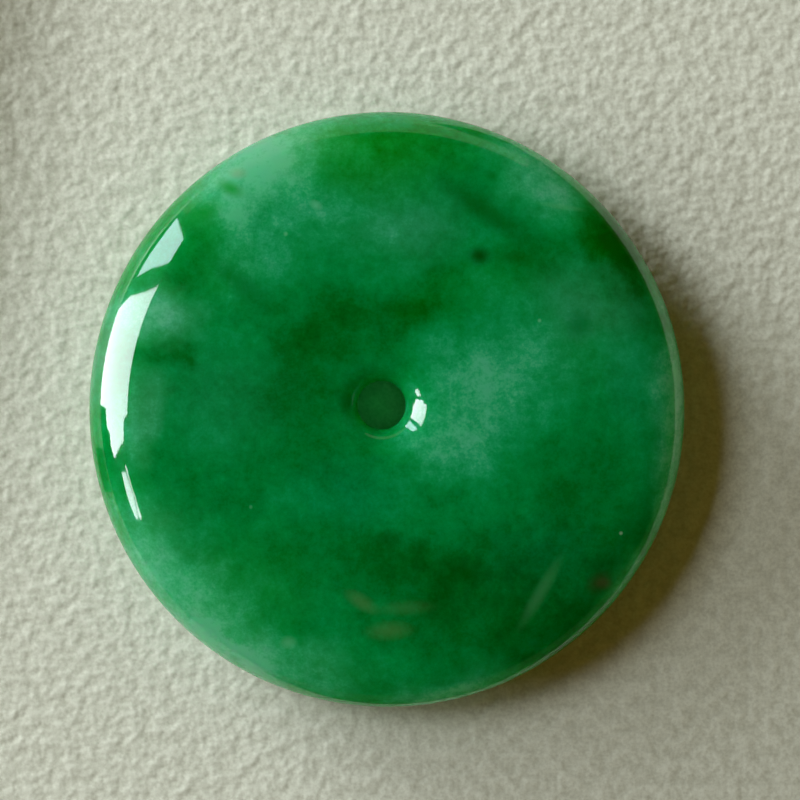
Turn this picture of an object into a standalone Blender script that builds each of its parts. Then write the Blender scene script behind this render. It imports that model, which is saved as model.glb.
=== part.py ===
"""A round jade pendant with a small hole, turned and drilled from one piece of stone.

Lengths are in metres. The pendant lies on its back face: the origin is on that face's plane, under the
middle of the disc, and +Z points out of the front face.

Each side of the disc is a chain of arcs that meet without a corner, from the widest part in to the flat
land round the hole. The slopes, in degrees, are where one arc hands over to the next: 0 is level and 90
is upright. The back is lower and flatter than the front.
"""

import math

import bpy

DISC_DIAMETER = 0.0500

# Front side
FRONT_EDGE_RADIUS = 0.0033
FRONT_EDGE_SLOPE = 46
FRONT_SHOULDER_RADIUS = 0.0054
FRONT_FACE_SLOPE = 5
FRONT_LAND_WIDTH = 0.0018

# Back side
BACK_EDGE_RADIUS = 0.0025
BACK_EDGE_SLOPE = 45
BACK_SHOULDER_RADIUS = 0.0042
BACK_FACE_SLOPE = 3
BACK_LAND_WIDTH = 0.0034

# Hole, drilled a little to one side of the middle, with a wide rounded mouth on each face
BORE_DIAMETER = 0.0040
HOLE_SHIFT_X = -0.00044
HOLE_SHIFT_Y = 0.00036
MOUTH_WIDTH = 0.0030
MOUTH_DEPTH = 0.0021

# Facets
DISC_SIDES = 96
HOLE_SIDES = 48
EDGE_STEPS = 6
SHOULDER_STEPS = 6
FACE_STEPS = 5
MOUTH_STEPS = 7

# How far the cutter stands out of each face
CUTTER_OVERSHOOT = 0.0010

JADE_COLOUR = (0.010, 0.180, 0.055, 1.0)
JADE_ROUGHNESS = 0.06
JADE_IOR = 1.66


def arc_onwards(point, radius, first_slope, last_slope, steps):
    """The points of an arc that goes on inwards and upwards from point, without that point."""
    first = math.radians(first_slope)
    points = []
    for step in range(1, steps + 1):
        slope = math.radians(first_slope + (last_slope - first_slope) * step / steps)
        run = radius * (math.sin(first) - math.sin(slope))
        rise = radius * (math.cos(slope) - math.cos(first))
        points.append((point[0] - run, point[1] + rise))
    return points


def land_radius(land_width):
    """How far a face's flat land reaches from the disc's axis, past the hole's mouth."""
    hole_reach = math.hypot(HOLE_SHIFT_X, HOLE_SHIFT_Y) + BORE_DIAMETER / 2 + MOUTH_WIDTH
    return hole_reach + land_width


def side_outline(edge_radius, edge_slope, shoulder_radius, face_slope, land_width):
    """One side of the disc from its widest point in to its axis, as (radius, height over the widest point)."""
    points = [(DISC_DIAMETER / 2, 0)]
    points += arc_onwards(points[-1], edge_radius, 90, edge_slope, EDGE_STEPS)
    points += arc_onwards(points[-1], shoulder_radius, edge_slope, face_slope, SHOULDER_STEPS)
    face_width = points[-1][0] - land_radius(land_width)
    face_radius = face_width / math.sin(math.radians(face_slope))
    points += arc_onwards(points[-1], face_radius, face_slope, 0, FACE_STEPS)
    points.append((0, points[-1][1]))
    return points


def disc_outline():
    """The disc's outline from the middle of the front face, down its outer side, to that of the back face."""
    front = side_outline(
        FRONT_EDGE_RADIUS, FRONT_EDGE_SLOPE, FRONT_SHOULDER_RADIUS, FRONT_FACE_SLOPE, FRONT_LAND_WIDTH
    )
    back = side_outline(
        BACK_EDGE_RADIUS, BACK_EDGE_SLOPE, BACK_SHOULDER_RADIUS, BACK_FACE_SLOPE, BACK_LAND_WIDTH
    )
    back_depth = back[-1][1]
    outline = [(radius, back_depth + height) for radius, height in reversed(front)]
    outline += [(radius, back_depth - height) for radius, height in back[1:]]
    return outline


def hole_outline(thickness):
    """The cutter's outline from above the front face to below the back face, round the hole's own axis."""
    mouth_radius = BORE_DIAMETER / 2 + MOUTH_WIDTH
    # Each mouth is a quarter of an ellipse, level at the face and upright at the bore.
    mouth = []
    for step in range(MOUTH_STEPS + 1):
        turn = math.pi / 2 * step / MOUTH_STEPS
        mouth.append((mouth_radius - MOUTH_WIDTH * math.sin(turn), MOUTH_DEPTH * (1 - math.cos(turn))))
    above = [(0, -CUTTER_OVERSHOOT), (mouth_radius, -CUTTER_OVERSHOOT)]
    depths = above + mouth
    front = [(radius, thickness - depth) for radius, depth in depths]
    back = [(radius, depth) for radius, depth in reversed(depths)]
    return front + back


def turned(name, outline, sides, collection):
    """An object turned round its own Z axis from an outline that runs down its outer side."""
    mesh = bpy.data.meshes.new(name)
    vertices = [(radius, 0, height) for radius, height in outline]
    edges = [(index, index + 1) for index in range(len(outline) - 1)]
    mesh.from_pydata(vertices, edges, [])
    turned_object = bpy.data.objects.new(name, mesh)
    collection.objects.link(turned_object)
    screw = turned_object.modifiers.new("Turn", "SCREW")
    screw.axis = "Z"
    screw.steps = sides
    screw.render_steps = sides
    screw.use_merge_vertices = True
    screw.merge_threshold = 0.00001
    screw.use_smooth_shade = True
    return turned_object


def jade():
    """Polished jade."""
    material = bpy.data.materials.new("Jade")
    material.use_nodes = True
    shader = material.node_tree.nodes["Principled BSDF"]
    shader.inputs["Base Color"].default_value = JADE_COLOUR
    shader.inputs["Roughness"].default_value = JADE_ROUGHNESS
    shader.inputs["IOR"].default_value = JADE_IOR
    return material


def new_collection(name):
    collection = bpy.data.collections.new(name)
    bpy.context.scene.collection.children.link(collection)
    return collection


def main():
    for old in list(bpy.data.objects):
        bpy.data.objects.remove(old)
    pendant = new_collection("jade_donut_pendant")
    cutters = new_collection("cutters")

    outline = disc_outline()
    disc = turned("jade_disc", outline, DISC_SIDES, pendant)
    disc.data.materials.append(jade())

    thickness = outline[0][1]
    hole = turned("hole_cutter", hole_outline(thickness), HOLE_SIDES, cutters)
    hole.location = (HOLE_SHIFT_X, HOLE_SHIFT_Y, 0)
    hole.hide_render = True
    hole.display_type = "WIRE"

    cut = disc.modifiers.new("Hole", "BOOLEAN")
    cut.operation = "DIFFERENCE"
    cut.object = hole


main()
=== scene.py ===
"""The finish of a round jade pendant: one smooth polished stone, and a pale sheet and soft window light.

The pendant lies on its back face at the origin, in metres, with +Z out of its front face. Sizes below are
in millimetres and are turned to metres with MM where they are used.
"""

import math

import bpy
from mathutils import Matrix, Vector


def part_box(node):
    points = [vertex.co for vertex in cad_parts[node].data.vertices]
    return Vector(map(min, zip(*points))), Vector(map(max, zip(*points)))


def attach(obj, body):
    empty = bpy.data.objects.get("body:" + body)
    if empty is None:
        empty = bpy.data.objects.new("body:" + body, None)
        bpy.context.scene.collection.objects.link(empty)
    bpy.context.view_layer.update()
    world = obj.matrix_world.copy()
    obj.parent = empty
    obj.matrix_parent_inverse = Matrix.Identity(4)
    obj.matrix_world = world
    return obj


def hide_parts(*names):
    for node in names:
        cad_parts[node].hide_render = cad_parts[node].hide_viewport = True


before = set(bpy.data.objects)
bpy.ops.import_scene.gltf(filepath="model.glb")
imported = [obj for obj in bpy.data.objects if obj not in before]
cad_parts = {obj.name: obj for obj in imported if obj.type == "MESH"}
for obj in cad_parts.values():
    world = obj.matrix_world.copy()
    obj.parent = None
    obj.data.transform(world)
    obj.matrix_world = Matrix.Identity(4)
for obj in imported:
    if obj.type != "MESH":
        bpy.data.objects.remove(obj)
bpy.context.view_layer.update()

MM = 0.001

# The disc's own size, read from the solid that this stone replaces
low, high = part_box("jade_disc")
DISC_RADIUS = (high[0] - low[0]) / 2 / MM
THICKNESS = (high[2] - low[2]) / MM

# Front side: arcs that meet without a corner, with the slopes in degrees where one hands over to the next
FRONT_EDGE_RADIUS = 3.3
FRONT_EDGE_SLOPE = 46
FRONT_SHOULDER_RADIUS = 5.4
FRONT_FACE_SLOPE = 5
FRONT_LAND_WIDTH = 1.8

# Back side
BACK_EDGE_RADIUS = 2.5
BACK_EDGE_SLOPE = 45
BACK_SHOULDER_RADIUS = 4.2
BACK_FACE_SLOPE = 3
BACK_LAND_WIDTH = 3.4

# Hole
BORE_RADIUS = 2.0
HOLE_SHIFT = (-0.44, 0.36)
MOUTH_WIDTH = 3.0
MOUTH_DEPTH = 2.1

# Fineness of the turned stone
SIDES = 384
CURVE_STEP = 0.16
FACE_STEP = 0.60
FEWEST_ARC_STEPS = 4
WELD_DISTANCE = 0.002

# Window panes, as corners of (azimuth, elevation) in degrees seen from the stone; azimuth runs from +X to
# +Y. These are what the polish mirrors.
PANE_DISTANCE = 520
MAIN_PANE = [
    (151.8, 54.5), (181.2, 55), (182.2, 48), (187, 45), (188, 36), (190.2, 22), (187.6, 18.5), (185, 19),
    (183.8, 14), (179.8, 13), (179.2, 0.3), (159.5, 0.3), (156.3, 14),
]
SIDE_PANE = [(137.8, 6), (140.4, 45), (146.2, 50), (149.1, 27.5), (152.2, 8.7), (148.8, 8), (143.4, 8)]
SLIM_PANES = [
    [(193.5, 30.5), (193.5, 38.5), (199.5, 39.5), (203.8, 33), (203.8, 28.5), (200, 28)],
    [(192.2, 40), (192.2, 42), (199.5, 42.5), (203.5, 40), (204.3, 35.5), (203.3, 34.5), (199.5, 40.8)],
]
PALE_WALL = [(60, 0.5), (60, 16), (136, 16), (136, 0.5)]

# How the main pane's glow changes for each metre along X, Y and Z
MAIN_PANE_FADE = (0, -12, -14.6)

# Cards that lie on the paper, by their corners: a bright sill under the side window, painted shade for the
# shadowed paper round the stone's lower and right sides, and a painted shadow of the window's post. The
# polish mirrors them.
SILL_CARD = [(-89, 72), (-115, 49), (-152, 64), (-117, 94)]
# Painted shade: this card stands for the shadowed paper round the stone's lower and right sides.
SHADE_CARD = [
    (9, -27.5), (17, -27.5), (26, -24.5), (33.5, -19.5), (45, -11), (75, 2), (70, 30), (43, 35),
    (22, 31), (13, 29), (9, 33), (7, 45), (60, 200), (600, 600), (600, -600), (-100, -600), (-40, -80),
    (-18, -40), (-6, -31),
]
# Painted shadow: this card stands for the window post's shadow on the paper.
POST_SHADOW_CARD = [(-29.8, -4), (-240, -32), (-232, -71), (-29, -8.5)]
CARD_HEIGHT = 0.3

# Soft lights, with corners as of the panes; the polish doesn't mirror them. The high light reaches both the
# stone and the paper, the stone light only the stone, and the grazing and paper lights only the paper.
LIGHT_DISTANCE = 800
HIGH_LIGHT = [(144, 35), (144, 52), (178, 52), (178, 35)]
STONE_LIGHT = [(130, 24), (130, 50), (176, 50), (176, 24)]
GRAZING_LIGHT = [(125, 3), (125, 15), (150, 15), (150, 3)]
PAPER_LIGHT = [(138, 12), (138, 24), (167, 24), (196, 24), (196, 12), (167, 12)]

# The sheet that the stone lies on: how far it reaches to each side
SHEET_REACH = 1500

# A low fold in the sheet, left of the picture: its distance from the stone's axis, its reach to both sides,
# its height, the turn of its line in degrees, how sharply its sides rise to its crest (1 is straight), and
# how many faces each side has
FOLD_DISTANCE = 39
FOLD_REACH = 13.5
FOLD_HEIGHT = 1.1
FOLD_TURN = 11
FOLD_SHARPNESS = 3
FOLD_STEPS = 27

# The card for the post's painted shadow lies over the fold.
POST_SHADOW_CARD_HEIGHT = FOLD_HEIGHT + 0.1

# Glow colours
WINDOW_GLOW = "#F2FAFF"
SIDE_GLOW = "#DAF3FF"
WALL_GLOW = "#A0A498"
ROOM_GLOW = "#60501F"
# The colour of the cards of painted shade and painted shadow.
SHADE_CARD_GLOW = "#3C3C2C"
JADE_GLOW = "#00FF70"

# How strongly the panes, cards, soft lights and the room glow, and the hole's lamp in watts
MAIN_PANE_STRENGTH = 16.7
SIDE_PANE_STRENGTH = 8.6
SLIM_PANE_STRENGTH = 11
SILL_STRENGTH = 5.5
DIM_STRENGTH = 1
HIGH_LIGHT_STRENGTH = 10.6
STONE_LIGHT_STRENGTH = 4.4
GRAZING_LIGHT_STRENGTH = 52
PAPER_LIGHT_STRENGTH = 11.5
ROOM_STRENGTH = 3
HOLE_LAMP_POWER = 0.00004

# The view: straight down, with the stone a little left of and below the middle of the picture
PICTURE_WIDTH = 67.1
VIEW_CENTRE = (1.10, 0.79)
CAMERA_HEIGHT = 420
SENSOR_WIDTH = 36


def linear(hex_colour):
    """An sRGB hex colour as linear red, green, blue and alpha."""
    channels = [int(hex_colour[start:start + 2], 16) / 255 for start in (1, 3, 5)]
    return tuple(c / 12.92 if c <= 0.04045 else ((c + 0.055) / 1.055) ** 2.4 for c in channels) + (1.0,)


def add_node(tree, kind, inputs=None, **settings):
    """Adds a node, sets what settings names, and fills or links the inputs."""
    node = tree.nodes.new(kind)
    for name, value in settings.items():
        setattr(node, name, value)
    for socket, value in (inputs or {}).items():
        if isinstance(value, bpy.types.NodeSocket):
            tree.links.new(value, node.inputs[socket])
        else:
            node.inputs[socket].default_value = value
    return node


# Shape of the stone


def arc_onwards(point, radius, first_slope, last_slope, spacing):
    """The points of an arc that goes on inwards and upwards from point, without that point."""
    first, last = math.radians(first_slope), math.radians(last_slope)
    steps = max(FEWEST_ARC_STEPS, round(radius * (first - last) / spacing))
    points = []
    for step in range(1, steps + 1):
        slope = first + (last - first) * step / steps
        run = radius * (math.sin(first) - math.sin(slope))
        rise = radius * (math.cos(slope) - math.cos(first))
        points.append((point[0] - run, point[1] + rise))
    return points


def side_profile(edge_radius, edge_slope, shoulder_radius, face_slope, land_width):
    """One side from the widest point in to the bore, as (radius, height, share of the hole's shift)."""
    mouth_radius = BORE_RADIUS + MOUTH_WIDTH
    land_radius = math.hypot(*HOLE_SHIFT) + mouth_radius + land_width
    points = [(DISC_RADIUS, 0)]
    points += arc_onwards(points[-1], edge_radius, 90, edge_slope, CURVE_STEP)
    points += arc_onwards(points[-1], shoulder_radius, edge_slope, face_slope, CURVE_STEP)
    face_radius = (points[-1][0] - land_radius) / math.sin(math.radians(face_slope))
    points += arc_onwards(points[-1], face_radius, face_slope, 0, FACE_STEP)
    face_height = points[-1][1]
    profile = [(radius, height, 0) for radius, height in points]

    # The level land hands over from circles round the disc's axis to circles round the hole's.
    land_steps = round((land_radius - mouth_radius) / FACE_STEP)
    for step in range(1, land_steps + 1):
        share = step / land_steps
        profile.append((land_radius + (mouth_radius - land_radius) * share, face_height, share))

    # The mouth is a quarter of an ellipse, level at the face and upright at the bore.
    mouth_steps = round(math.pi / 2 * MOUTH_WIDTH / CURVE_STEP)
    for step in range(1, mouth_steps + 1):
        turn = math.pi / 2 * step / mouth_steps
        depth = MOUTH_DEPTH * (1 - math.cos(turn))
        profile.append((mouth_radius - MOUTH_WIDTH * math.sin(turn), face_height - depth, 1))
    return profile


def stone_profile():
    """The closed outline of the stone's section: out over the front, in under the back and up the bore."""
    front = side_profile(
        FRONT_EDGE_RADIUS, FRONT_EDGE_SLOPE, FRONT_SHOULDER_RADIUS, FRONT_FACE_SLOPE, FRONT_LAND_WIDTH
    )
    back = side_profile(
        BACK_EDGE_RADIUS, BACK_EDGE_SLOPE, BACK_SHOULDER_RADIUS, BACK_FACE_SLOPE, BACK_LAND_WIDTH
    )
    widest = THICKNESS - (front[-1][1] + MOUTH_DEPTH)
    outline = [(radius, widest + height, share) for radius, height, share in reversed(front)]
    outline += [(radius, widest - height, share) for radius, height, share in back[1:]]
    bottom, top = outline[-1][1], outline[0][1]
    wall_steps = round((top - bottom) / CURVE_STEP)
    for step in range(1, wall_steps):
        outline.append((BORE_RADIUS, bottom + (top - bottom) * step / wall_steps, 1))
    return outline


def turning_tree():
    """A Geometry Nodes tree that turns a section round Z and slides its bore rings to the hole's axis."""
    tree = bpy.data.node_groups.new("Turned stone", "GeometryNodeTree")
    for name, kind in (
        ("Section", "NodeSocketGeometry"),
        ("Sides", "NodeSocketInt"),
        ("Hole shift", "NodeSocketVector"),
        ("Stone", "NodeSocketMaterial"),
    ):
        tree.interface.new_socket(name, in_out="INPUT", socket_type=kind)
    tree.interface.new_socket("Geometry", in_out="OUTPUT", socket_type="NodeSocketGeometry")
    given = add_node(tree, "NodeGroupInput").outputs

    # A sheet with one row for each point of the section and one column for each side, and one more of both
    # so that its edges meet when it is rolled up.
    size = add_node(tree, "GeometryNodeAttributeDomainSize", {"Geometry": given["Section"]})
    points = size.outputs["Point Count"]
    rows = add_node(tree, "FunctionNodeIntegerMath", {0: points, 1: 1}, operation="ADD").outputs[0]
    columns = add_node(
        tree, "FunctionNodeIntegerMath", {0: given["Sides"], 1: 1}, operation="ADD"
    ).outputs[0]
    sheet = add_node(tree, "GeometryNodeMeshGrid", {"Vertices X": rows, "Vertices Y": columns})

    # Each point of the sheet goes to its own place in the section, turned to its own side.
    index = add_node(tree, "GeometryNodeInputIndex").outputs[0]
    row = add_node(tree, "FunctionNodeIntegerMath", {0: index, 1: columns}, operation="DIVIDE_FLOOR")
    side = add_node(tree, "FunctionNodeIntegerMath", {0: index, 1: columns}, operation="MODULO")
    point = add_node(tree, "FunctionNodeIntegerMath", {0: row.outputs[0], 1: points}, operation="MODULO")
    turn = add_node(tree, "ShaderNodeMath", {0: side.outputs[0], 1: given["Sides"]}, operation="DIVIDE")
    angle = add_node(tree, "ShaderNodeMath", {0: turn.outputs[0], 1: math.tau}, operation="MULTIPLY")

    place = add_node(
        tree,
        "GeometryNodeSampleIndex",
        {"Geometry": given["Section"], "Index": point.outputs[0]},
        data_type="FLOAT_VECTOR",
    )
    position = add_node(tree, "GeometryNodeInputPosition").outputs[0]
    tree.links.new(position, place.inputs["Value"])
    share = add_node(
        tree,
        "GeometryNodeSampleIndex",
        {"Geometry": given["Section"], "Index": point.outputs[0]},
        data_type="FLOAT",
    )
    shift_share = add_node(
        tree, "GeometryNodeInputNamedAttribute", {"Name": "shift_share"}, data_type="FLOAT"
    ).outputs["Attribute"]
    tree.links.new(shift_share, share.inputs["Value"])

    turned = add_node(
        tree,
        "ShaderNodeVectorRotate",
        {"Vector": place.outputs[0], "Angle": angle.outputs[0]},
        rotation_type="Z_AXIS",
    )
    slide = add_node(
        tree,
        "ShaderNodeVectorMath",
        {0: given["Hole shift"], "Scale": share.outputs[0]},
        operation="SCALE",
    )
    final = add_node(
        tree, "ShaderNodeVectorMath", {0: turned.outputs[0], 1: slide.outputs[0]}, operation="ADD"
    )
    rolled = add_node(
        tree,
        "GeometryNodeSetPosition",
        {"Geometry": sheet.outputs["Mesh"], "Position": final.outputs[0]},
    )
    closed = add_node(
        tree,
        "GeometryNodeMergeByDistance",
        {"Geometry": rolled.outputs[0], "Distance": WELD_DISTANCE * MM},
    )
    smooth = add_node(tree, "GeometryNodeSetShadeSmooth", {"Geometry": closed.outputs[0]})
    real = add_node(tree, "GeometryNodeRealizeInstances", {"Geometry": smooth.outputs[0]})
    dressed = add_node(
        tree, "GeometryNodeSetMaterial", {"Geometry": real.outputs[0], "Material": given["Stone"]}
    )
    result = add_node(tree, "NodeGroupOutput")
    tree.links.new(dressed.outputs[0], result.inputs["Geometry"])
    return tree


def jade_stone(material):
    """The polished stone as one plain closed mesh."""
    profile = stone_profile()
    section = bpy.data.meshes.new("jade_stone")
    section.from_pydata([(radius * MM, 0, height * MM) for radius, height, share in profile], [], [])
    shares = section.attributes.new("shift_share", "FLOAT", "POINT")
    shares.data.foreach_set("value", [share for radius, height, share in profile])
    stone = bpy.data.objects.new("jade_stone", section)
    bpy.context.scene.collection.objects.link(stone)

    tree = turning_tree()
    modifier = stone.modifiers.new("Turning", "NODES")
    modifier.node_group = tree
    values = {
        "Sides": SIDES,
        "Hole shift": (HOLE_SHIFT[0] * MM, HOLE_SHIFT[1] * MM, 0),
        "Stone": material,
    }
    for socket in tree.interface.items_tree:
        if socket.in_out == "INPUT" and socket.name in values:
            modifier[socket.identifier] = values[socket.name]

    evaluated = stone.evaluated_get(bpy.context.evaluated_depsgraph_get())
    stone.data = bpy.data.meshes.new_from_object(evaluated)
    stone.modifiers.remove(modifier)
    return stone


# Finishes

# Polished jadeite: its gloss, its refractive index, and how far red, green and blue light travel inside it
JADE_ROUGHNESS = 0.04
JADE_IOR = 1.66
JADE_LIGHT_REACH = (2.0, 12.0, 6.0)

# How much of the clouds shows on the back; the upper half of the stone has them whole.
BACK_CLOUDS = 0.45

# The stone's colour from its darkest, purest green (0) to its milkiest (1)
PALENESS_COLOURS = [
    (0.00, "#00620A"),
    (0.20, "#007822"),
    (0.40, "#008C3A"),
    (0.55, "#029B49"),
    (0.70, "#0FA65C"),
    (0.85, "#28B577"),
    (1.00, "#54C493"),
]

# The stone's own paleness where it has no cloud, and how much one unit of coolness turns its hue and one of
# greyness takes from its saturation
FIELD_PALENESS = 0.48
HUE_PER_COOLNESS = 0.012
SATURATION_PER_GREYNESS = -0.03

# Clouds: name, where their middle is (x, y), how far they reach along and across, their turn in degrees,
# and how much paleness, coolness (blue above 0, yellow below) and greyness they add.
CLOUDS = [
    # Pale ones, some of them painted light along the rim, and the green between them
    ("milky upper left", -10.3, 16.8, 13, 8.5, 66, 0.46, 0, 0.45),
    # Partly the stone's own milkiness, partly painted light: the lit upper left edge and the paper it
    # mirrors.
    ("milk and painted light in upper left edge", -11.8, 20.8, 12, 4.6, 35, 0.19, 0.3, 3.5),
    ("grey top left", -7.5, 21.6, 6, 2.6, 15, 0.14, 0, 2.4),
    ("milky top", 0, 16, 9, 6, -15, 0.20, 0, 0.6),
    ("milky right of hole", 8, 2, 11.5, 8, 48, 0.49, 0, 0.2),
    ("bright streak right of hole", 4.0, -3.4, 8, 4, -8, 0.21, 0, 0.2),
    ("pale right shoulder", 16, 6, 8, 7, -35, 0.12, 0, 0.5),
    ("milky lower left rim", -18.3, -16.2, 16, 8.3, -51, 0.38, 0, 1.7),
    ("pale lower left shoulder", -20.6, -11.6, 6, 4, -60, 0.10, 0, 1.8),
    ("pale lower left edge", -13.9, -18.8, 7.4, 3, -33, 0.27, 0, 2.7),
    ("pale lower left field", -10.8, -16.4, 6, 4.5, -30, 0.14, 0, 0.1),
    ("pale lower left foot", -7.6, -21.9, 9, 4.4, -13, 0.30, 0, 1.6),
    ("pale left wedge", -19.2, 7.8, 5.5, 3.6, -12, 0.48, 0.5, 4),
    ("pale left gap", -21, 11.5, 5, 3, 60, 0.18, 0, 1.2),
    # Painted reflection: the lit paper mirrored in the left edge, drawn as greyness.
    ("painted reflection in left edge", -23.9, 4.4, 6, 2.4, 80, 0.26, 1, 7),
    ("pale left rim", -20.6, -0.8, 6.5, 3, 86, 0.32, 0.4, 2.8),
    ("pale left field", -14, 1, 7, 8, 90, 0.08, 0.7, 0.6),
    ("pale upper right rim", 13.4, 19.4, 12, 5, -40, 0.38, -0.3, 0.5),
    # Painted reflection: the paper mirrored in the right upper rim.
    ("painted reflection in right upper rim", 22.4, 11.6, 9, 2.2, -62, 0.36, 0.3, 0.6),
    ("green top", -1, 21.8, 12, 5, 0, -0.02, -1.7, 0.4),
    # Painted reflection: the lit paper mirrored in the top rim.
    ("painted reflection in top rim", -0.5, 24.7, 11, 2.3, 0, 0.32, 1.2, 0.2),
    ("pale upper right gap", 10.3, 17.8, 3, 2, -35, 0.16, 0, 0.4),
    # Painted light: the glow of light passing through the stone at its right rim, and the paper it mirrors.
    ("painted glow and reflection in right rim", 24.4, -2, 16, 3.2, 89, 0.58, 0.1, 1.8),
    # Painted light: the glow of light passing through the stone at its lower right rim, and the paper it
    # mirrors.
    ("painted glow and reflection in lower right rim", 20.6, -14.8, 13, 2.6, 54, 0.42, 0, 1.2),
    # Painted reflection: the paper mirrored in the bottom rim.
    ("painted reflection in bottom rim", 5.8, -24.1, 14, 3, 14, 0.46, 0, 1.2),
    ("green right middle", 8, 10.5, 10, 3.5, 20, 0.06, -0.7, 0),

    # Dark ones
    ("olive arc over hole", -3.6, 7.1, 9.0, 3.8, 8, -0.26, -0.1, 0),
    ("olive arc tail", 3.1, 9.3, 5.5, 2.6, 46, -0.26, -0.2, 0),
    ("olive arc start", -10, 9.4, 4.5, 3, 35, -0.12, 0, 0),
    ("dark left of hole", -8, 2, 8, 6, 70, -0.24, 0, 0),
    ("dark below left of hole", -4.8, -4.5, 6, 3.5, 0, -0.14, 0, 0),
    # Partly a dark cloud in the stone, partly painted shade: the lower right, away from the light, drawn
    # darker.
    ("dark cloud and painted shade lower right", 9.5, -16, 15, 8.5, -3, -0.36, 0.3, 0),
    ("dark lower middle", 0, -12.5, 10, 4.5, -10, -0.22, 0, 0),
    ("dark right", 16.5, -8, 8.5, 6, 90, -0.24, 0.2, 0),
    ("dark upper right", 18.8, 14.0, 8, 3.8, -54, -0.60, -0.6, 0),
    ("dark upper right tail", 13.4, 13.0, 7, 2.4, 8, -0.14, 0, 0),
    ("upper left arc", -15.3, 15.0, 4, 2.5, 10, -0.12, -0.5, 0),
    ("vivid notch", -14.5, 12, 6, 4.5, 20, -0.06, -0.8, 0),
    ("dark notch", -15.8, 12.4, 3.5, 2.6, 60, -0.16, 0, 0),
    ("left olive spot", -17.4, 4.3, 3.0, 1.7, 0, -0.28, -0.3, 0),

    # Changes of hue and greyness
    ("yellow lower left", -11, -14.5, 8, 6, 0, 0, -0.8, 0.3),
    ("blue top cloud", 3, 15.5, 6, 4, 0, 0, 0.9, 1.0),
    ("blue grey right arc", 17, 9.2, 8, 4, -15, 0, 1.0, 1.6),
    ("blue grey right", 20.5, 3, 9, 3, 90, 0, 0.8, 0.3),
    ("blue below hole", -3, -7, 7, 4, 0, 0, 0.8, 0),
    ("blue lower right", 13.5, -12.5, 8, 5, -10, 0, 0.8, 0),
    ("grey upper right", 13.6, 18.3, 5, 3, -20, 0.06, 0.5, 1.8),
]

# How far the clouds' edges wander, coarsely and finely, and the size of the wandering
WANDER = [(2.5, 9.0), (2.6, 2.5)]

# The grain of the stone: its coarsest size, how often it halves, how much its finer sizes count, and how
# much paleness it adds or takes. Real jadeite's crystals are under 0.1 mm, finer than the picture shows, so
# the finest grain is drawn coarser, at 0.14 mm, and stands for clumps of them.
GRAIN_SIZE = 4.5
GRAIN_HALVINGS = 5
GRAIN_FINENESS = 0.88
GRAIN_PALENESS = 1.1

# Flaws near the face: name, x, y, half-length, half-width, turn in degrees, colour and cover
FLAWS = [
    ("diagonal vein", 8.1, 16.6, 6.8, 1.4, -35, "#046600", 0.66),
    ("round spot", 7.7, 12.8, 1.35, 1.1, 0, "#065200", 0.85),
    ("spot's tail", 10.8, 12.6, 2.8, 0.8, -3, "#086A0A", 0.45),
    ("curved vein", -11.6, 10.0, 5.2, 1.4, -40, "#006C0C", 0.42),
    ("upper left arc", -15.4, 16.4, 2.2, 1.3, 20, "#009422", 0.85),
    ("small upper arc", -13.0, 18.4, 1.8, 0.9, -25, "#009628", 0.80),
    ("healed crack", 12.8, -15.2, 4.4, 0.8, 60, "#3F9454", 0.65),
    ("brown speck", 17.8, -14.4, 1.6, 1.2, 30, "#3C4A14", 0.70),
    ("brown speck's core", 18.1, -14.5, 0.9, 0.7, 0, "#6A6A48", 0.40),
    ("beige wedge", -2.1, -16.0, 2.1, 0.9, -32, "#5A8F50", 0.45),
    ("beige wedge's foot", 1.6, -16.5, 3.2, 0.9, 3, "#4E8A48", 0.28),
    ("beige patch", 0.2, -18.4, 2.6, 1.1, 4, "#5F9450", 0.38),
    ("dark spot below hole", 0.1, -10.8, 1.8, 1.1, 10, "#045A00", 0.50),
    ("dark spot lower middle", 2.7, -11.6, 1.3, 1.6, 0, "#045A00", 0.30),
    ("dark spot lower right", 6.6, -13.4, 3.0, 1.3, -20, "#035200", 0.50),
    ("dark spot lower left", -14.0, -7.6, 2.0, 1.4, -35, "#046000", 0.20),
    ("pinkish speck", -12.4, 19.7, 1.1, 0.7, 0, "#A09070", 0.30),
    ("milky thread", 14.6, 16.9, 2.4, 0.35, -8, "#5CBE84", 0.5),
    ("green triangle", 16.0, 7.1, 1.6, 1.7, 0, "#007A30", 0.65),
    ("small dark spot", 8.7, 19.5, 0.9, 0.6, -30, "#007A18", 0.6),
    ("pale fleck", -8.2, -19.4, 0.9, 0.7, 0, "#6CC08A", 0.5),
    ("white flecks", -5.9, 17.0, 0.8, 0.5, -30, "#80D0A8", 0.45),
    ("white grain right", 19.5, -10.3, 0.22, 0.22, 0, "#C0E8CC", 0.6),
    ("white grain over hole", 12.7, 7.4, 0.22, 0.22, 0, "#80D0A8", 0.5),
    ("white grain upper left", -8.4, 14.6, 0.25, 0.25, 0, "#80D0A8", 0.4),
    ("white grain lower left", -11.3, -8.1, 0.22, 0.26, 0, "#70C898", 0.4),
]

# Flaws show only above this height.
FLAW_HEIGHT = THICKNESS / 3

# The paper's tooth: the size and height of its lumps, and the size of the fibres' flecks on them. Real
# fibres are about 0.03 mm wide, too fine to show, so the flecks are drawn ten times as coarse, as clumps.
PAPER_TOOTH_SIZE = 1.1
PAPER_TOOTH_HEIGHT = 0.13
PAPER_FLECK_SIZE = 0.3

# The paper's colours in its hollows and on its lumps, and the sum of tooth and flecks where each is whole.
# The darker hollows are painted shade; the flecks' part is the fibres' own colour.
PAPER_SHADE_COLOURS = ("#C6C6B4", "#E1E2D2")
PAPER_SHADE_PLACES = (0.7, 1.3)
PAPER_ROUGHNESS = 0.9
PAPER_DIFFUSE_ROUGHNESS = 0.2


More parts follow.
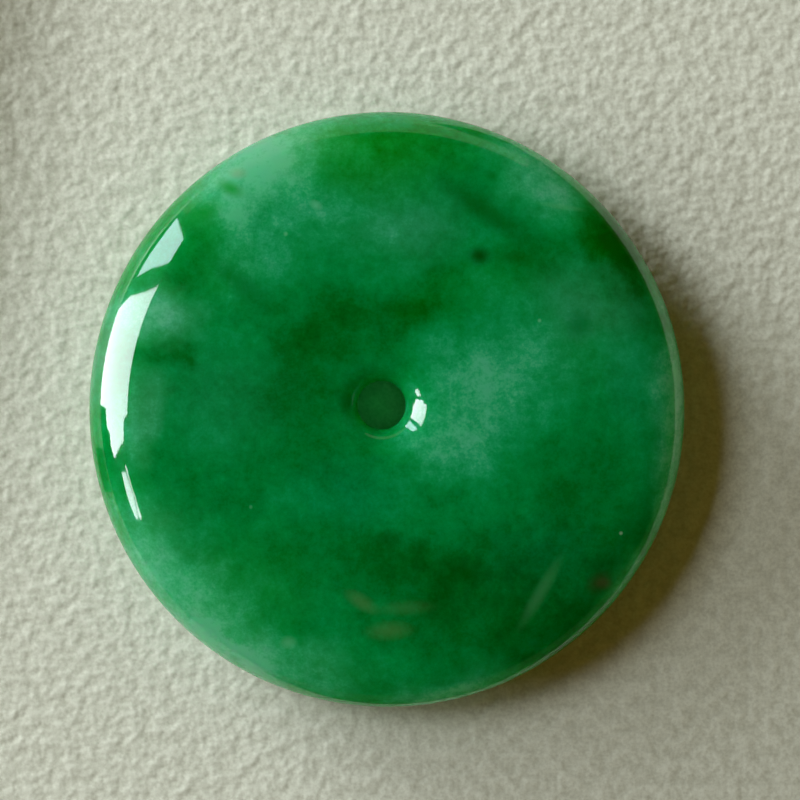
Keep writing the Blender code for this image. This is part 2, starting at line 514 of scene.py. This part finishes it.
def plan_terms(tree, position):
    """The vectors (xx, xy, yy) and (x, y, 1), from which soft_cloud makes every ellipse."""
    plan = add_node(tree, "ShaderNodeSeparateXYZ", {0: position})
    x, y = plan.outputs[0], plan.outputs[1]
    squares = [
        add_node(tree, "ShaderNodeMath", {0: first, 1: second}, operation="MULTIPLY").outputs[0]
        for first, second in ((x, x), (x, y), (y, y))
    ]
    second_order = add_node(tree, "ShaderNodeCombineXYZ", dict(enumerate(squares)))
    first_order = add_node(tree, "ShaderNodeCombineXYZ", {0: x, 1: y, 2: 1})
    return second_order.outputs[0], first_order.outputs[0]


def soft_cloud(tree, terms, name, x, y, length, width, turn):
    """A value that is 1 in the middle of an ellipse and falls softly to 0 at its edge, seen from above."""
    cosine, sine = math.cos(math.radians(turn)), math.sin(math.radians(turn))
    xx = (cosine / length) ** 2 + (sine / width) ** 2
    yy = (sine / length) ** 2 + (cosine / width) ** 2
    xy = 2 * cosine * sine * (1 / length ** 2 - 1 / width ** 2)
    from_middle = xx * x * x + xy * x * y + yy * y * y

    # 1 less the square of the distance from the middle, as a share of the ellipse's own reach
    second_order = add_node(
        tree, "ShaderNodeVectorMath", {0: terms[0], 1: (-xx, -xy, -yy)}, operation="DOT_PRODUCT"
    )
    first_order = add_node(
        tree,
        "ShaderNodeVectorMath",
        {0: terms[1], 1: (2 * xx * x + xy * y, 2 * yy * y + xy * x, 1 - from_middle)},
        operation="DOT_PRODUCT",
    )
    dome = add_node(
        tree,
        "ShaderNodeMath",
        {0: second_order.outputs["Value"], 1: first_order.outputs["Value"]},
        operation="ADD",
        use_clamp=True,
    )
    soft = add_node(
        tree,
        "ShaderNodeMath",
        {0: dome.outputs[0], 1: dome.outputs[0]},
        operation="MULTIPLY",
        label=name,
    )
    return soft.outputs[0]


def wandering(tree, position):
    """The position pushed a little aside by noise, so that the clouds' edges are uneven."""
    for push, size in WANDER:
        noise = add_node(tree, "ShaderNodeTexNoise", {"Vector": position, "Scale": 1 / size, "Detail": 1})
        centred = add_node(
            tree,
            "ShaderNodeVectorMath",
            {0: noise.outputs["Color"], 1: (0.5, 0.5, 0.5)},
            operation="SUBTRACT",
        )
        moved = add_node(
            tree,
            "ShaderNodeVectorMath",
            {0: centred.outputs[0], 1: (push, push, push), 2: position},
            operation="MULTIPLY_ADD",
        )
        position = moved.outputs[0]
    return position


def polished_jade():
    """Polished translucent jadeite.

    It gives the eye a clear, sharp gloss over a soft green glow, in which milky clouds, olive arcs, fine
    grain and small flaws seem to lie inside the stone. Some pale clouds along the rim are painted glow and
    reflection, and one dark cloud is partly painted shade.
    """
    material = bpy.data.materials.new("Polished jadeite")
    material.use_nodes = True
    tree = material.node_tree
    shader = tree.nodes["Principled BSDF"]
    coordinates = add_node(tree, "ShaderNodeTexCoord")
    place = add_node(
        tree,
        "ShaderNodeVectorMath",
        {0: coordinates.outputs["Object"], "Scale": 1 / MM},
        operation="SCALE",
        label="Millimetres",
    ).outputs[0]

    # Paleness, coolness and greyness are summed side by side as the three parts of one vector.
    terms = plan_terms(tree, wandering(tree, place))
    total = (0, 0, 0)
    for name, x, y, length, width, turn, *effects in CLOUDS:
        share = soft_cloud(tree, terms, name, x, y, length, width, turn)
        total = add_node(
            tree,
            "ShaderNodeVectorMath",
            {0: share, 1: effects, 2: total},
            operation="MULTIPLY_ADD",
        ).outputs[0]

    # The clouds fade towards the back. A Map Range node reads from socket 1 to socket 2, and gives from
    # socket 3 to socket 4.
    height = add_node(tree, "ShaderNodeSeparateXYZ", {0: place}).outputs[2]
    strength = add_node(
        tree,
        "ShaderNodeMapRange",
        {"Value": height, 1: 0, 2: THICKNESS / 2, 3: BACK_CLOUDS, 4: 1},
        interpolation_type="SMOOTHSTEP",
        label="Depth",
    )
    parts = add_node(
        tree,
        "ShaderNodeSeparateXYZ",
        {0: add_node(
            tree,
            "ShaderNodeVectorMath",
            {0: total, 1: strength.outputs["Result"], 2: (FIELD_PALENESS, 0, 0)},
            operation="MULTIPLY_ADD",
        ).outputs[0]},
    )

    grain = add_node(
        tree,
        "ShaderNodeTexNoise",
        {
            "Vector": place,
            "Scale": 1 / GRAIN_SIZE,
            "Detail": GRAIN_HALVINGS,
            "Roughness": GRAIN_FINENESS,
        },
        label="Grain",
    )
    grain_paleness = add_node(
        tree,
        "ShaderNodeMath",
        {0: grain.outputs["Fac"], 1: GRAIN_PALENESS, 2: -GRAIN_PALENESS / 2},
        operation="MULTIPLY_ADD",
    )
    paleness = add_node(
        tree, "ShaderNodeMath", {0: parts.outputs[0], 1: grain_paleness.outputs[0]}, operation="ADD"
    )
    green = add_node(tree, "ShaderNodeValToRGB", {"Fac": paleness.outputs[0]}, label="Paleness")
    stops = green.color_ramp.elements
    stops.remove(stops[1])
    stops[0].position, stops[0].color = PALENESS_COLOURS[0][0], linear(PALENESS_COLOURS[0][1])
    for position, colour in PALENESS_COLOURS[1:]:
        stops.new(position).color = linear(colour)

    # A hue of 0.5 and a saturation of 1 change nothing.
    hue = add_node(
        tree,
        "ShaderNodeMath",
        {0: parts.outputs[1], 1: HUE_PER_COOLNESS, 2: 0.5},
        operation="MULTIPLY_ADD",
    )
    purity = add_node(
        tree,
        "ShaderNodeMath",
        {0: parts.outputs[2], 1: SATURATION_PER_GREYNESS, 2: 1.0},
        operation="MULTIPLY_ADD",
    )
    tinted = add_node(
        tree,
        "ShaderNodeHueSaturation",
        {"Hue": hue.outputs[0], "Saturation": purity.outputs[0], "Color": green.outputs["Color"]},
    )

    # A Mix node's colours are its sockets 6 and 7, and the mixed colour is its output 2.
    colour = tinted.outputs["Color"]
    terms = plan_terms(tree, place)
    for name, x, y, length, width, turn, flaw_colour, cover in FLAWS:
        share = soft_cloud(tree, terms, name, x, y, length, width, turn)
        covered = add_node(tree, "ShaderNodeMath", {0: share, 1: cover}, operation="MULTIPLY")
        colour = add_node(
            tree,
            "ShaderNodeMix",
            {0: covered.outputs[0], 6: colour, 7: linear(flaw_colour)},
            data_type="RGBA",
        ).outputs[2]
    front_only = add_node(tree, "ShaderNodeMath", {0: height, 1: FLAW_HEIGHT}, operation="GREATER_THAN")
    flawed = add_node(
        tree,
        "ShaderNodeMix",
        {0: front_only.outputs[0], 6: tinted.outputs["Color"], 7: colour},
        data_type="RGBA",
    )

    tree.links.new(flawed.outputs[2], shader.inputs["Base Color"])
    shader.inputs["Roughness"].default_value = JADE_ROUGHNESS
    shader.inputs["IOR"].default_value = JADE_IOR
    shader.inputs["Subsurface Weight"].default_value = 1.0
    shader.inputs["Subsurface Radius"].default_value = JADE_LIGHT_REACH
    shader.inputs["Subsurface Scale"].default_value = MM
    return material


def pale_paper():
    """Thick handmade paper, felted and pressed.

    It gives the eye a dull, pale and slightly warm ground, with a fine tooth that the low light picks out,
    and whose hollows are also painted darker, as shade.
    """
    material = bpy.data.materials.new("Pale felted paper")
    material.use_nodes = True
    tree = material.node_tree
    shader = tree.nodes["Principled BSDF"]
    coordinates = add_node(tree, "ShaderNodeTexCoord")
    place = add_node(
        tree,
        "ShaderNodeVectorMath",
        {0: coordinates.outputs["Object"], "Scale": 1 / MM},
        operation="SCALE",
        label="Millimetres",
    )
    tooth = add_node(
        tree,
        "ShaderNodeTexNoise",
        {"Vector": place.outputs[0], "Scale": 1 / PAPER_TOOTH_SIZE, "Detail": 1, "Roughness": 0.5},
        label="Tooth",
    )
    bump = add_node(
        tree,
        "ShaderNodeBump",
        {"Height": tooth.outputs["Fac"], "Distance": PAPER_TOOTH_HEIGHT * MM, "Strength": 1.0},
    )
    flecks = add_node(
        tree,
        "ShaderNodeTexNoise",
        {"Vector": place.outputs[0], "Scale": 1 / PAPER_FLECK_SIZE, "Detail": 1, "Roughness": 0.6},
        label="Flecks",
    )
    height = add_node(
        tree, "ShaderNodeMath", {0: tooth.outputs["Fac"], 1: flecks.outputs["Fac"]}, operation="ADD"
    )
    # Painted shade: the paper is drawn darker in the tooth's hollows, with the flecks as the fibres' own
    # colour.
    shaded_hollow_place, lump_place = PAPER_SHADE_PLACES
    shade = add_node(
        tree,
        "ShaderNodeMapRange",
        {"Value": height.outputs[0], 1: shaded_hollow_place, 2: lump_place, 3: 0, 4: 1},
    )
    shaded_hollow_colour, lump_colour = PAPER_SHADE_COLOURS
    colour = add_node(
        tree,
        "ShaderNodeMix",
        {0: shade.outputs["Result"], 6: linear(shaded_hollow_colour), 7: linear(lump_colour)},
        data_type="RGBA",
    )
    tree.links.new(colour.outputs[2], shader.inputs["Base Color"])
    tree.links.new(bump.outputs[0], shader.inputs["Normal"])
    shader.inputs["Roughness"].default_value = PAPER_ROUGHNESS
    shader.inputs["Diffuse Roughness"].default_value = PAPER_DIFFUSE_ROUGHNESS
    return material


# Studio


def from_stone(azimuth, elevation, distance):
    """A point in metres that is seen from the stone at that azimuth and elevation."""
    a, e = math.radians(azimuth), math.radians(elevation)
    return Vector((math.cos(a) * math.cos(e), math.sin(a) * math.cos(e), math.sin(e))) * distance * MM


def glowing_pane(name, points, colour, strength, fade=(0, 0, 0)):
    """A glowing pane with its corners at the points, which the camera never sees and which has no shadow.

    fade is how its glow changes for each metre along X, Y and Z.
    """
    mesh = bpy.data.meshes.new(name)
    mesh.from_pydata(points, [], [list(range(len(points)))])
    pane = bpy.data.objects.new(name, mesh)
    bpy.context.scene.collection.objects.link(pane)
    material = bpy.data.materials.new(name)
    material.use_nodes = True
    tree = material.node_tree
    tree.nodes.clear()
    place = add_node(tree, "ShaderNodeTexCoord").outputs["Object"]
    change = add_node(tree, "ShaderNodeVectorMath", {0: place, 1: fade}, operation="DOT_PRODUCT")
    power = add_node(tree, "ShaderNodeMath", {0: change.outputs["Value"], 1: strength}, operation="ADD")
    glow = add_node(tree, "ShaderNodeEmission", {"Color": linear(colour), "Strength": power.outputs[0]})
    output = add_node(tree, "ShaderNodeOutputMaterial")
    tree.links.new(glow.outputs[0], output.inputs["Surface"])
    mesh.materials.append(material)
    pane.visible_camera = False
    pane.visible_shadow = False
    return pane


def mirrored_pane(name, corners, colour, strength, fade=(0, 0, 0)):
    """A pane in the air that only the polish mirrors."""
    points = [from_stone(azimuth, elevation, PANE_DISTANCE) for azimuth, elevation in corners]
    glowing_pane(name, points, colour, strength, fade).visible_diffuse = False


def mirrored_card(name, corners, colour, strength, height=CARD_HEIGHT):
    """A card on the paper that only the polish mirrors."""
    points = [(x * MM, y * MM, height * MM) for x, y in corners]
    glowing_pane(name, points, colour, strength).visible_diffuse = False


def soft_light(name, corners, colour, strength):
    """A pane that lights the stone and the paper but isn't mirrored."""
    points = [from_stone(azimuth, elevation, LIGHT_DISTANCE) for azimuth, elevation in corners]
    pane = glowing_pane(name, points, colour, strength)
    pane.visible_glossy = False
    return pane


def light_only(pane, lit):
    """Keeps a pane's light to one object; every object still casts its shadow in it."""
    receivers = bpy.data.collections.new(pane.name + " receivers")
    receivers.objects.link(lit)
    pane.light_linking.receiver_collection = receivers


def hole_glow():
    """A faint lamp for the light that comes through the stone into its hole, which renders leave out."""
    data = bpy.data.lights.new("hole_glow", "POINT")
    data.color = linear(JADE_GLOW)[:3]
    data.energy = HOLE_LAMP_POWER
    data.shadow_soft_size = BORE_RADIUS / 2 * MM
    glow = bpy.data.objects.new("hole_glow", data)
    glow.location = (HOLE_SHIFT[0] * MM, HOLE_SHIFT[1] * MM, THICKNESS / 2 * MM)
    glow.visible_camera = False
    glow.visible_glossy = False
    bpy.context.scene.collection.objects.link(glow)


def sheet_section():
    """The sheet's section from right to left, as (distance to the left, height) in millimetres."""
    section = [(-SHEET_REACH, 0)]
    for step in range(-FOLD_STEPS, FOLD_STEPS + 1):
        height = FOLD_HEIGHT * (1 - abs(step) / FOLD_STEPS) ** FOLD_SHARPNESS
        section.append((FOLD_DISTANCE + FOLD_REACH * step / FOLD_STEPS, height))
    section.append((SHEET_REACH, 0))
    return section


def paper_floor():
    """The pale sheet that the stone lies on, flat but for one low fold."""
    turn = math.radians(180 - FOLD_TURN)
    left = Vector((math.cos(turn), math.sin(turn), 0))
    along = Vector((-math.sin(turn), math.cos(turn), 0))
    section = sheet_section()
    points = []
    for distance, height in section:
        for end in (-SHEET_REACH, SHEET_REACH):
            points.append((left * distance + along * end + Vector((0, 0, height))) * MM)
    faces = [(2 * row, 2 * row + 2, 2 * row + 3, 2 * row + 1) for row in range(len(section) - 1)]
    mesh = bpy.data.meshes.new("paper_floor")
    mesh.from_pydata(points, [], faces)
    mesh.shade_smooth()
    mesh.materials.append(pale_paper())
    floor = bpy.data.objects.new("paper_floor", mesh)
    bpy.context.scene.collection.objects.link(floor)
    return floor


def room_light():
    """The dim warm light that the room gives from low down to every side; the polish doesn't mirror it."""
    world = bpy.data.worlds.new("Dim room")
    world.use_nodes = True
    tree = world.node_tree
    direction = add_node(tree, "ShaderNodeTexCoord").outputs["Generated"]
    upward = add_node(tree, "ShaderNodeSeparateXYZ", {0: direction}).outputs[2]
    # The room is brightest at the height of the sheet and dark overhead, where the camera is.
    power = add_node(
        tree,
        "ShaderNodeMath",
        {0: upward, 1: -ROOM_STRENGTH, 2: ROOM_STRENGTH},
        operation="MULTIPLY_ADD",
    )
    background = tree.nodes["Background"]
    background.inputs["Color"].default_value = linear(ROOM_GLOW)
    tree.links.new(power.outputs[0], background.inputs["Strength"])
    world.cycles_visibility.glossy = False
    bpy.context.scene.world = world


def camera():
    """A long lens straight above the stone. PICTURE_WIDTH is what it sees at half the stone's height."""
    data = bpy.data.cameras.new("camera")
    data.sensor_width = SENSOR_WIDTH
    data.lens = SENSOR_WIDTH * (CAMERA_HEIGHT - THICKNESS / 2) / PICTURE_WIDTH
    made = bpy.data.objects.new("camera", data)
    made.location = (VIEW_CENTRE[0] * MM, VIEW_CENTRE[1] * MM, CAMERA_HEIGHT * MM)
    bpy.context.scene.collection.objects.link(made)
    bpy.context.scene.camera = made


stone = jade_stone(polished_jade())
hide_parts("jade_disc")
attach(stone, "root")

floor = paper_floor()
room_light()
mirrored_pane("main_window_pane", MAIN_PANE, WINDOW_GLOW, MAIN_PANE_STRENGTH, MAIN_PANE_FADE)
mirrored_pane("side_window_pane", SIDE_PANE, SIDE_GLOW, SIDE_PANE_STRENGTH)
mirrored_pane("pale_wall", PALE_WALL, WALL_GLOW, DIM_STRENGTH)
for number, corners in enumerate(SLIM_PANES):
    mirrored_pane(f"slim_window_pane_{number + 1}", corners, WINDOW_GLOW, SLIM_PANE_STRENGTH)
mirrored_card("bright_sill", SILL_CARD, WINDOW_GLOW, SILL_STRENGTH)
# Painted shade, mirrored only: the shadowed paper round the stone.
mirrored_card("painted_shade_card", SHADE_CARD, SHADE_CARD_GLOW, DIM_STRENGTH)
# Painted shadow of the window's post, mirrored only.
mirrored_card("painted_post_shadow", POST_SHADOW_CARD, SHADE_CARD_GLOW, DIM_STRENGTH, POST_SHADOW_CARD_HEIGHT)
soft_light("high_light", HIGH_LIGHT, WINDOW_GLOW, HIGH_LIGHT_STRENGTH)
light_only(soft_light("stone_light", STONE_LIGHT, WINDOW_GLOW, STONE_LIGHT_STRENGTH), stone)
light_only(soft_light("grazing_light", GRAZING_LIGHT, WINDOW_GLOW, GRAZING_LIGHT_STRENGTH), floor)
light_only(soft_light("paper_light", PAPER_LIGHT, WINDOW_GLOW, PAPER_LIGHT_STRENGTH), floor)
hole_glow()
camera()
bpy.context.scene.view_settings.view_transform = "Standard"
